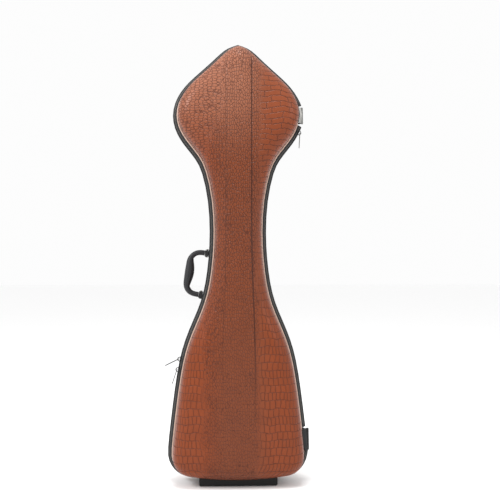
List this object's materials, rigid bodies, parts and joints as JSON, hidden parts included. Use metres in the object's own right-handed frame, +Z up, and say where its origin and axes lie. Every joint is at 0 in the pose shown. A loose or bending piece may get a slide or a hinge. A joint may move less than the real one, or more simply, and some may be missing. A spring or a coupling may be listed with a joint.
{
  "type": "instrument case",
  "caption": "Contoured zip-up hard case for a long-necked string instrument, standing on its base, with side hinges, side handle and padded interior",
  "frame": {"origin": "bottom centre of the closed case on the floor", "axes": "+Z up along the case, front (lid) faces -Y, zip plane at y = 0"},
  "size_m": [0.3945, 0.194, 1.1973],
  "materials": {
    "leatherette": "crocodile-embossed semi-gloss leatherette",
    "piping": "pale corded piping",
    "foam_shell": "moulded rigid foam",
    "plush": "short pile plush",
    "tape": "woven zip tape",
    "coil": "moulded zip coil",
    "edging": "black edging trim",
    "rubber": "matte rubber",
    "grip": "charcoal padded grip",
    "black_metal": "black coated metal",
    "nickel": "dull nickel plate",
    "moulded": "black moulded plastic"
  },
  "bodies": {
    "back": {"back_covering": "leatherette", "back_shell": "foam_shell", "back_lining": "plush", "body_bolster_left": "plush", "body_bolster_right": "plush", "body_bolster_base": "plush", "head_bolster_left": "plush", "head_bolster_right": "plush", "neck_rest": "plush", "head_rest": "plush", "back_main_tape": "tape", "back_side_tape": "tape", "back_main_coil": "coil", "back_side_coil": "coil", "back_edging": "edging", "back_side_edging": "edging", "back_rail": "rubber", "lower_hinge_back_leaf": "black_metal", "lower_hinge_pin": "black_metal", "handle_bracket_upper": "black_metal", "handle_bracket_lower": "black_metal", "upper_hinge_back_leaf": "nickel", "upper_hinge_pin": "nickel", "handle_pin_upper": "nickel", "handle_pin_lower": "nickel", "accessory_box": "moulded"},
    "lid": {"lid_covering": "leatherette", "lid_piping": "piping", "lid_shell": "foam_shell", "lid_lining": "plush", "lid_main_tape": "tape", "lid_side_tape": "tape", "lid_main_coil": "coil", "lid_side_coil": "coil", "lid_rail": "rubber", "upper_hinge_lid_leaf": "nickel", "lower_hinge_lid_leaf": "black_metal", "bow_button_base": "moulded", "bow_pocket": "plush"},
    "handle": {"handle_grip": "grip", "handle_cap_upper": "moulded", "handle_cap_lower": "moulded"},
    "accessory_flap": {"accessory_lid": "plush", "accessory_tab": "tape"},
    "main_slider_upper": {"main_upper_slider": "black_metal"},
    "main_slider_lower": {"main_lower_slider": "black_metal"},
    "side_slider_body": {"side_slider": "black_metal"},
    "main_pull_upper": {"main_upper_pull": "black_metal"},
    "main_pull_lower": {"main_lower_pull": "black_metal"},
    "side_pull_body": {"side_pull": "nickel"},
    "turn_button": {"bow_button": "moulded"}
  },
  "joints": [
    {"name": "lid_hinge", "type": "hinge", "parent": "back", "child": "lid", "pos_m": [0.19084, 0, 0.11577], "axis": [-0.0169, 0, 0.9999], "range_deg": [0, 165]},
    {"name": "handle_pivot", "type": "hinge", "parent": "back", "child": "handle", "pos_m": [-0.09335, 0.0235, 0.56752], "axis": [0.1498, 0, 0.9887], "range_deg": [-80, 60]},
    {"name": "accessory_flap_hinge", "type": "hinge", "parent": "back", "child": "accessory_flap", "pos_m": [0, 0.029, 0.543], "axis": [1, 0, 0], "range_deg": [-85, 0]},
    {"name": "main_upper_travel", "type": "slide", "parent": "back", "child": "main_slider_upper", "axis": [0.2099, 0, 0.9777], "range_m": [0, 0.015]},
    {"name": "main_lower_travel", "type": "slide", "parent": "back", "child": "main_slider_lower", "axis": [-0.178, 0, -0.984], "range_m": [0, 0.02]},
    {"name": "side_travel", "type": "slide", "parent": "back", "child": "side_slider_body", "axis": [-0.4203, 0, -0.9074], "range_m": [0, 0.012]},
    {"name": "main_upper_pull_swing", "type": "hinge", "parent": "main_slider_upper", "child": "main_pull_upper", "pos_m": [-0.16176, 0, 0.33655], "axis": [0, 1, 0], "range_deg": [-40, 70]},
    {"name": "main_lower_pull_swing", "type": "hinge", "parent": "main_slider_lower", "child": "main_pull_lower", "pos_m": [-0.16664, 0, 0.30801], "axis": [0, 1, 0], "range_deg": [0, 85]},
    {"name": "side_pull_swing", "type": "hinge", "parent": "side_slider_body", "child": "side_pull_body", "pos_m": [0.16984, 0, 0.9544], "axis": [0, 1, 0], "range_deg": [-100, 10]},
    {"name": "bow_button_turn", "type": "hinge", "parent": "lid", "child": "turn_button", "pos_m": [0.03, -0.0862, 0.9], "axis": [0, 1, 0], "range_deg": [-90, 90]}
  ]
}
